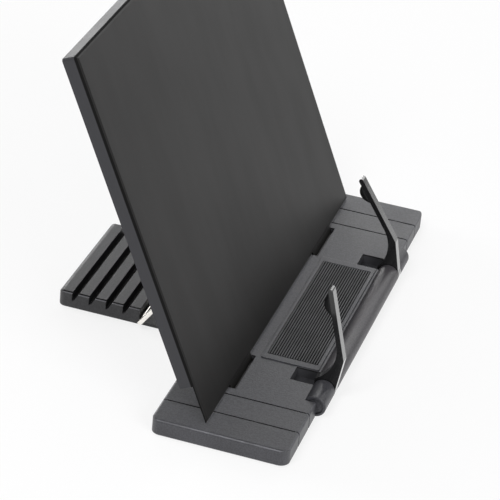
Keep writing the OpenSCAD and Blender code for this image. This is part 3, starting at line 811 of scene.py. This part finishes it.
@dataclass
class Shell:
    """Points and faces of a piece while it is built."""

    points: list[Vector] = field(default_factory=list)
    faces: list[tuple[int, ...]] = field(default_factory=list)

    def grid(self, rows: int, columns: int, point: Callable[[int, int], Vector], closed: bool = False) -> int:
        """Adds a grid of faces.

        Args:
            rows: Number of rows of points.
            columns: Number of points in a row.
            point: Gives the point of a row and column.
            closed: Whether each row closes on itself.

        Returns:
            The index of the grid's first point.
        """
        first = len(self.points)
        for row in range(rows):
            self.points.extend(point(row, column) for column in range(columns))
        last = columns if closed else columns - 1
        for row in range(rows - 1):
            for column in range(last):
                here = first + row * columns + column
                beside = first + row * columns + (column + 1) % columns
                self.faces.append((here, beside, beside + columns, here + columns))
        return first

    def cap(self, ring: Sequence[int]) -> None:
        """Closes a ring of points, given by their indices in order, with one face."""
        self.faces.append(tuple(ring))

    def tube(self, rings: int, sides: int, point: Callable[[int, int], Vector]) -> None:
        """Adds a tube of rings with both ends closed.

        Args:
            rings: Number of rings.
            sides: Number of points in a ring.
            point: Gives the point of a ring and place in it.
        """
        first = self.grid(rings, sides, point, closed=True)
        last = first + (rings - 1) * sides
        self.cap([first + i for i in reversed(range(sides))])
        self.cap([last + i for i in range(sides)])

    def turned(self, profile: Sequence[tuple[float, float]], sides: int, at: Matrix) -> None:
        """Adds a body of revolution about Z with closed ends.

        Args:
            profile: Radius and height of each ring, from one end to the other.
            sides: Number of points in a ring.
            at: Where the body goes.
        """
        def point(row: int, column: int) -> Vector:
            """Point of a ring."""
            radius, height = profile[row]
            return at @ on_circle(radius, column, sides, height)

        self.tube(len(profile), sides, point)

    def piece(self, name: str, material: bpy.types.Material, body: str, slot: str,
              stands_for: Sequence[str] = ()) -> None:
        """Makes the piece and sets it on its body.

        Args:
            name: The piece's name.
            material: Its finish.
            body: The body that carries it.
            slot: The record's material slot of its finish; not used.
            stands_for: Nodes that it replaces.
        """
        made = mesh_piece(name, self.points, self.faces, material)
        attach(made, body)
        if stands_for:
            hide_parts(*stands_for)
        log.info("built %s with %d faces on %s", name, len(self.faces), body)


@dataclass
class Crossbar:
    """Low moulded base with its floor, feet, hidden steel and ribbed insert."""

    frame: Frame
    finishes: Finishes
    ridges: int = 20
    # Profile of a rib: share of the pitch, and share of the full rise
    rib: tuple[Spot, ...] = (
        (0.0, 0.0), (0.22, 0.0), (0.23, 0.3), (0.245, 0.62), (0.265, 0.86), (0.3, 0.97), (0.35, 1.0),
        (0.5, 1.0), (0.65, 1.0), (0.7, 0.97), (0.735, 0.86), (0.755, 0.62), (0.77, 0.3), (0.78, 0.0))
    mat_base: float = 0.6 * MM
    # Distances from an end at which a rib has points, up to its full rise
    mat_ends: tuple[float, ...] = (0.0, 0.06 * MM, 0.2 * MM, 0.45 * MM, 0.8 * MM, 1.3 * MM)
    mat_parts: int = 16
    foot_height: float = 1.95 * MM
    foot_sides: int = 36
    # Profile of the dish: share of the radius, and height
    foot_dish: tuple[Spot, ...] = ((0.1, 0.2 * MM), (0.55, 0.2 * MM), (0.7, 0.05 * MM), (0.74, 0.0))
    foot_round: float = 0.5 * MM
    # Profile of the rim: distance inwards and height, as shares of foot_round
    foot_rim: tuple[Spot, ...] = ((1.0, 0.0), (0.4, 0.1), (0.1, 0.4), (0.0, 1.0))
    foot_radius: float = 6 * MM
    # Distances from the middle, and behind the crossbar's front edge
    foot_x: float = 147 * MM
    foot_y: tuple[float, float] = (12.5 * MM, 73 * MM)
    rear_foot_radius: float = 5 * MM
    rear_foot: Spot = (38 * MM, 177.3 * MM)

    def dress(self) -> None:
        """Gives the moulded pieces and the hidden steel their finishes."""
        self.frame.dress(self.finishes.shaded_toothed, "ratchet_foot")
        self.frame.dress(self.finishes.ledge, "crossbar_cover")
        self.frame.dress(self.finishes.black, "pad_frame", "left_barrel_cap", "right_barrel_cap")
        self.frame.dress(self.finishes.barrel, "barrel_cover")
        self.frame.dress(self.finishes.dark, "crossbar_floor")
        self.frame.dress(self.finishes.steel, "barrel_axle", "left_friction_washers",
                         "right_friction_washers", "left_hinge_pin", "right_hinge_pin")

    def build_mat(self) -> None:
        """Builds the ribbed insert: flat-topped ribs along X that run out softly at both ends."""
        low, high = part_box("grip_pad")
        low, high = Vector(low), Vector(high)
        span = high.x - low.x
        xs = [*self.mat_ends, *(span * i / self.mat_parts for i in range(1, self.mat_parts)),
              *(span - end for end in reversed(self.mat_ends))]
        outline = [(i + phase, share) for i in range(self.ridges) for phase, share in self.rib]
        outline.append((self.ridges, 0.0))
        base = low.z + self.mat_base
        rise = high.z - base

        def point(row: int, column: int) -> Vector:
            """Point of the upper side.

            Args:
                row: The point of the ribs' outline, from the front.
                column: The point along a rib, from the left.

            Returns:
                The point.
            """
            along, share = outline[row]
            near = min(xs[column], span - xs[column]) / self.mat_ends[-1]
            run_out = math.sqrt(max(0.0, 1.0 - max(0.0, 1.0 - near) ** 2))
            return Vector((low.x + xs[column], low.y + (high.y - low.y) * along / self.ridges,
                           base + rise * share * run_out))

        shell = Shell()
        first = shell.grid(len(outline), len(xs), point)
        ring = self._rim(first, len(outline), len(xs))
        count = len(ring)
        under = len(shell.points)
        shell.points.extend(Vector((shell.points[i].x, shell.points[i].y, low.z)) for i in ring)
        for i in range(count):
            after = (i + 1) % count
            shell.faces.append((ring[after], ring[i], under + i, under + after))
        shell.cap([under + i for i in reversed(range(count))])
        shell.piece("ribbed_mat", self.finishes.ribbed, "base", "soft_rubber", ["grip_pad"])

    @staticmethod
    def _rim(first: int, rows: int, columns: int) -> list[int]:
        """Indices round the outside of a grid.

        Args:
            first: The grid's first point.
            rows: Its number of rows.
            columns: Its number of points in a row.

        Returns:
            The indices, in order.
        """
        front = [first + i for i in range(columns)]
        right = [first + row * columns + columns - 1 for row in range(1, rows)]
        rear = [first + (rows - 1) * columns + i for i in reversed(range(columns - 1))]
        left = [first + row * columns for row in reversed(range(1, rows - 1))]
        return front + right + rear + left

    def build_feet(self) -> None:
        """Builds the rubber feet, dished underneath and round at the rim."""
        corners = [(side.value * self.foot_x, y) for side in Side for y in self.foot_y]
        rear_x, rear_y = self.rear_foot
        rears = [(side.value * rear_x, rear_y) for side in Side]
        self._feet("crossbar_rubbers", self.foot_radius, corners, "crossbar_feet")
        self._feet("rear_rubbers", self.rear_foot_radius, rears, "ratchet_feet")

    def _feet(self, name: str, radius: float, places: Sequence[Spot], node: str) -> None:
        """Builds one set of feet.

        Args:
            name: The piece's name.
            radius: Radius of a foot.
            places: X of the feet, and their distance behind the crossbar's front edge.
            node: The node that they replace.
        """
        profile = [(share * radius, height) for share, height in self.foot_dish]
        profile += [(radius - inset * self.foot_round, up * self.foot_round) for inset, up in self.foot_rim]
        profile.append((radius, self.foot_height))
        shell = Shell()
        for x, y in places:
            shell.turned(profile, self.foot_sides, Matrix.Translation((x, y - MIDDLE_Y, 0)))
        shell.piece(name, self.finishes.rubber, "base", "soft_rubber", [node])


@dataclass
class Screws:
    """Cross-recessed screws in the crossbar's underside."""

    finishes: Finishes
    sides: int = 48
    head_radius: float = 2.5 * MM
    head_low: float = 1.2 * MM
    head_height: float = 1.1 * MM
    # Rings of a head's face, as shares of its radius
    head_rings: tuple[float, ...] = (0.04, 0.1, 0.16, 0.22, 0.3, 0.4, 0.5, 0.58, 0.66, 0.8, 0.92, 1.0)
    # How far the face falls back at its rim, and the power of its curve
    crown: float = 0.25 * MM
    crown_power: int = 4
    shank_radius: float = 1.2 * MM
    recess_depth: float = 0.6 * MM
    # Half the width of the cross's arms, and their length
    recess_width: float = 0.42 * MM
    recess_reach: float = 1.5 * MM
    # Places on the right: X, and distance behind the crossbar's front edge
    floor_at: tuple[Spot, ...] = ((136 * MM, 20 * MM), (136 * MM, 66 * MM), (54.9 * MM, 66 * MM))
    floor_length: float = 6.0 * MM
    barrel_at: tuple[Spot, ...] = ((40 * MM, 13 * MM), (92 * MM, 13 * MM))
    barrel_length: float = 5.9 * MM
    rack_at: Spot = (29.4 * MM, 78.5 * MM)
    rack_length: float = 2.7 * MM

    def build(self) -> None:
        """Builds the three sets of screws."""
        rack = self._pairs([self.rack_at]) + [(0.0, self.rack_at[1])]
        self._set("floor_fasteners", self._pairs(self.floor_at), self.floor_length, "floor_screws")
        self._set("barrel_fasteners", self._pairs(self.barrel_at), self.barrel_length, "barrel_screws")
        self._set("rack_fasteners", rack, self.rack_length, "ratchet_screws")

    @staticmethod
    def _pairs(places: Sequence[Spot]) -> list[Spot]:
        """Both sides of each place."""
        return [(side.value * x, y) for side in Side for x, y in places]

    def _set(self, name: str, places: Sequence[Spot], length: float, node: str) -> None:
        """Builds one set.

        Args:
            name: The piece's name.
            places: X of the screws, and their distance behind the crossbar's front edge.
            length: Length of a shank.
            node: The node that they replace.
        """
        shell = Shell()
        for x, y in places:
            self._screw(shell, Matrix.Translation((x, y - MIDDLE_Y, self.head_low)), length)
        shell.piece(name, self.finishes.steel, "base", "plain_steel", [node])

    def _screw(self, shell: Shell, at: Matrix, length: float) -> None:
        """Adds one screw, head down.

        Args:
            shell: What it is added to.
            at: Where the head's lowest point is.
            length: Length of its shank.
        """
        top = self.head_height
        walls = ((self.head_radius, top), (self.shank_radius, top), (self.shank_radius, top + length))
        faces = len(self.head_rings)

        def point(row: int, column: int) -> Vector:
            """Point of a ring of the head's face, or of the walls behind it.

            Args:
                row: The ring, from the face's middle.
                column: The place in it.

            Returns:
                The point.
            """
            if row >= faces:
                radius, height = walls[row - faces]
                return at @ on_circle(radius, column, self.sides, height)
            share = self.head_rings[row]
            crowned = self.crown * share ** self.crown_power
            spot = on_circle(share * self.head_radius, column, self.sides, crowned)
            near, far = sorted((abs(spot.x), abs(spot.y)))
            if near < self.recess_width and far < self.recess_reach:
                spot.z = self.recess_depth
            return at @ spot

        shell.tube(faces + len(walls), self.sides, point)


@dataclass
class PageHolder:
    """One friction-hinged arm with its rubber nub."""

    frame: Frame
    finishes: Finishes
    side: Side
    arm_x: float = 76.1 * MM
    axis_y: float = 1.45 * MM - MIDDLE_Y
    axis_z: float = 7.2 * MM
    # The knee's place from the axis, rearward and up, before the right arm is turned
    knee: Spot = (-10 * MM, 22.3 * MM)
    strip_lean: float = math.radians(14.2)
    strip_depth: float = 3.1 * MM
    right_turn: float = math.radians(19.5)
    # Distance of the nub's middle above the knee, along the arm
    nub_up: float = 38.2 * MM
    nub_lift: float = 0.02 * MM
    nub_length: float = 13 * MM
    # What is cut off each end of the arc over the nub
    nub_cut: float = 0.1 * MM
    nub_height: float = 4.2 * MM
    nub_width: float = 6 * MM
    nub_fullness: int = 5
    nub_rings: int = 25
    nub_sides: int = 17

    def dress(self) -> None:
        """Gives the arm its finish."""
        self.frame.dress(self.finishes.dark, f"{self.side.word}_arm")

    def build_nub(self) -> None:
        """Builds the rubber nub: a low cushion, round over its length and soft at its sides."""
        turn = -self.right_turn if self.side is Side.RIGHT else 0.0
        place = (Matrix.Translation((self.side.value * self.arm_x, self.axis_y, self.axis_z))
                 @ Matrix.Rotation(turn, 4, "X")
                 @ Matrix.Translation((0.0, *self.knee))
                 @ Matrix.Rotation(-self.strip_lean, 4, "X")
                 @ Matrix.Translation((0.0, self.strip_depth + self.nub_lift, self.nub_up)))
        half = self.nub_length / 2
        reach = half - self.nub_cut
        radius = (half ** 2 + self.nub_height ** 2) / (2 * self.nub_height)

        def point(row: int, column: int) -> Vector:
            """Point of a section.

            Args:
                row: The section, from the lower end.
                column: The place in it, from its +X side over the crest.

            Returns:
                The point.
            """
            along = reach * (2.0 * row / (self.nub_rings - 1) - 1.0)
            over = math.cos(math.pi * column / (self.nub_sides - 1))
            crest = math.sqrt(radius ** 2 - along ** 2) - (radius - self.nub_height)
            soft = math.sqrt(max(0.0, 1.0 - abs(over) ** self.nub_fullness))
            return place @ Vector((over * self.nub_width / 2, crest * soft, along))

        shell = Shell()
        shell.tube(self.nub_rings, self.nub_sides, point)
        shell.piece(f"{self.side.word}_nub", self.finishes.rubber, f"{self.side.word}_holder", "soft_rubber",
                    [f"{self.side.word}_arm_pad"])


@dataclass
class Panel:
    """Leaning sheet panel with the straps that carry the prop."""

    frame: Frame
    finishes: Finishes
    # The prop's pivot above the hinge, along the panel
    pivot_up: float = 75 * MM
    strap_x: float = 45 * MM
    strap_face: float = 1.6 * MM
    rivet_up: float = 5.6 * MM
    rivet_across: float = 3 * MM
    rivet_radius: float = 1.6 * MM
    rivet_height: float = 0.6 * MM
    # Profile of a head, as shares of its radius and height
    rivet_profile: tuple[Spot, ...] = (
        (1.0, 0.0), (1.0, 0.35), (0.93, 0.65), (0.78, 0.88), (0.5, 1.0), (0.1, 1.0))
    rivet_sides: int = 28

    def dress(self) -> None:
        """Gives the sheet and its straps their finishes."""
        self.frame.dress(self.finishes.sheet, "panel_sheet")
        self.frame.dress(self.finishes.steel, "left_prop_saddle", "right_prop_saddle")

    def build_rivets(self) -> None:
        """Builds the flat rivet heads that hold each strap to the sheet."""
        profile = [(r * self.rivet_radius, h * self.rivet_height) for r, h in self.rivet_profile]
        leaning = Matrix.Translation((0, HINGE_Y, HINGE_Z)) @ Matrix.Rotation(-LEAN, 4, "X")
        rearward = Matrix.Rotation(-math.pi / 2, 4, "X")
        for side in Side:
            shell = Shell()
            for up in (-self.rivet_up, self.rivet_up):
                for across in (-self.rivet_across, self.rivet_across):
                    at = Matrix.Translation((side.value * self.strap_x + across, self.strap_face,
                                             self.pivot_up + up))
                    shell.turned(profile, self.rivet_sides, leaning @ at @ rearward)
            shell.piece(f"{side.word}_strap_rivets", self.finishes.steel, "panel", "plain_steel")


@dataclass
class Prop:
    """Bent wire prop."""

    frame: Frame
    finishes: Finishes

    def dress(self) -> None:
        """Gives the wire its plating."""
        self.frame.dress(self.finishes.wire, "prop_wire")


@dataclass(frozen=True)
class Lamp:
    """One square soft lamp."""

    name: str
    place: Place
    aim: Place
    size: float
    power: float

    def hang(self) -> None:
        """Adds the lamp to the scene."""
        data = bpy.data.lights.new(self.name, "AREA")
        data.size = self.size
        data.energy = self.power
        lamp = bpy.data.objects.new(self.name, data)
        lamp.location = self.place
        lamp.rotation_euler = (Vector(self.aim) - Vector(self.place)).to_track_quat("-Z", "Y").to_euler()
        bpy.context.scene.collection.objects.link(lamp)


@dataclass
class Studio:
    """Pale floor, soft light and the camera."""

    eye: Place = (-1.329378, -0.365722, 0.834683)
    target: Place = (0.0, -0.011841, 0.044176)
    roll: float = math.radians(5.7415)
    lens: float = 179.73
    sensor: float = 36.0
    floor_size: float = 12.0
    floor_colour: Colour = (0.93, 0.93, 0.935)
    floor_glow: float = 0.78
    sky: float = 0.12
    lamps: tuple[Lamp, ...] = (
        Lamp("overhead", place=(-0.2, -0.3, 1.9), aim=ORIGIN, size=1.8, power=3.0),
        Lamp("front_left", place=(-1.1, -1.25, 0.75), aim=(0, 0, 0.05), size=0.9, power=20.0),
        Lamp("right_bank", place=(1.9, -0.35, 0.75), aim=(0, 0, 0.08), size=1.5, power=13.5),
        Lamp("rear_strip", place=(1.75, 1.15, 0.5), aim=(0, 0.1, 0.2), size=0.8, power=8.5),
        Lamp("backdrop", place=(1.7, 0.47, 1.06), aim=(0, 0, 0.05), size=1.6, power=5.0),
        Lamp("top_key", place=(-1.3, 0.4, 1.7), aim=(0, 0, 0.02), size=0.7, power=18.0),
        Lamp("rear_high", place=(0.4, 1.3, 1.6), aim=(0, 0, 0.05), size=1.2, power=4.0),
        Lamp("rear_low", place=(0.2, 1.9, 0.5), aim=(0, 0.1, 0.1), size=0.8, power=18.0))

    def build_camera(self) -> None:
        """Sets the camera at the photograph's view."""
        eye = Vector(self.eye)
        ahead = (Vector(self.target) - eye).normalized()
        level = ahead.cross(Vector(UP)).normalized()
        upright = level.cross(ahead)
        across = math.cos(self.roll) * level + math.sin(self.roll) * upright
        up = math.cos(self.roll) * upright - math.sin(self.roll) * level
        data = bpy.data.cameras.new("view")
        data.lens = self.lens
        data.sensor_width = self.sensor
        data.sensor_fit = "HORIZONTAL"
        camera = bpy.data.objects.new("view", data)
        camera.matrix_world = Matrix((across, up, -ahead)).transposed().to_4x4()
        camera.location = eye
        bpy.context.scene.collection.objects.link(camera)
        bpy.context.scene.camera = camera

    def build_floor(self) -> None:
        """Lays the pale floor."""
        half = self.floor_size / 2
        material = PaleFloor("pale_floor", self.floor_colour, self.floor_glow).build()
        corners = [Vector((x, y, 0)) for x, y in ((-half, -half), (half, -half), (half, half), (-half, half))]
        mesh_piece("floor", corners, [(0, 1, 2, 3)], material)

    def build_light(self) -> None:
        """Hangs the soft lamps and sets the sky."""
        for lamp in self.lamps:
            lamp.hang()
        world = bpy.data.worlds.new("studio")
        world.use_nodes = True
        back = world.node_tree.nodes["Background"]
        back.inputs["Color"].default_value = (1.0, 1.0, 1.0, 1.0)
        back.inputs["Strength"].default_value = self.sky
        bpy.context.scene.world = world
        bpy.context.scene.view_settings.view_transform = "Standard"


def main() -> None:
    """Loads the stand, dresses it and sets the scene."""
    logging.basicConfig(level=logging.INFO, format="%(name)s: %(message)s")
    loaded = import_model()
    frame = Frame(loaded["nodes"])
    finishes = Finishes()
    studio = Studio()
    studio.build_camera()
    crossbar = Crossbar(frame, finishes)
    crossbar.dress()
    crossbar.build_mat()
    crossbar.build_feet()
    Screws(finishes).build()
    for side in Side:
        holder = PageHolder(frame, finishes, side)
        holder.dress()
        holder.build_nub()
    panel = Panel(frame, finishes)
    panel.dress()
    panel.build_rivets()
    Prop(frame, finishes).dress()
    studio.build_floor()
    studio.build_light()


if __name__ == "__main__":
    main()
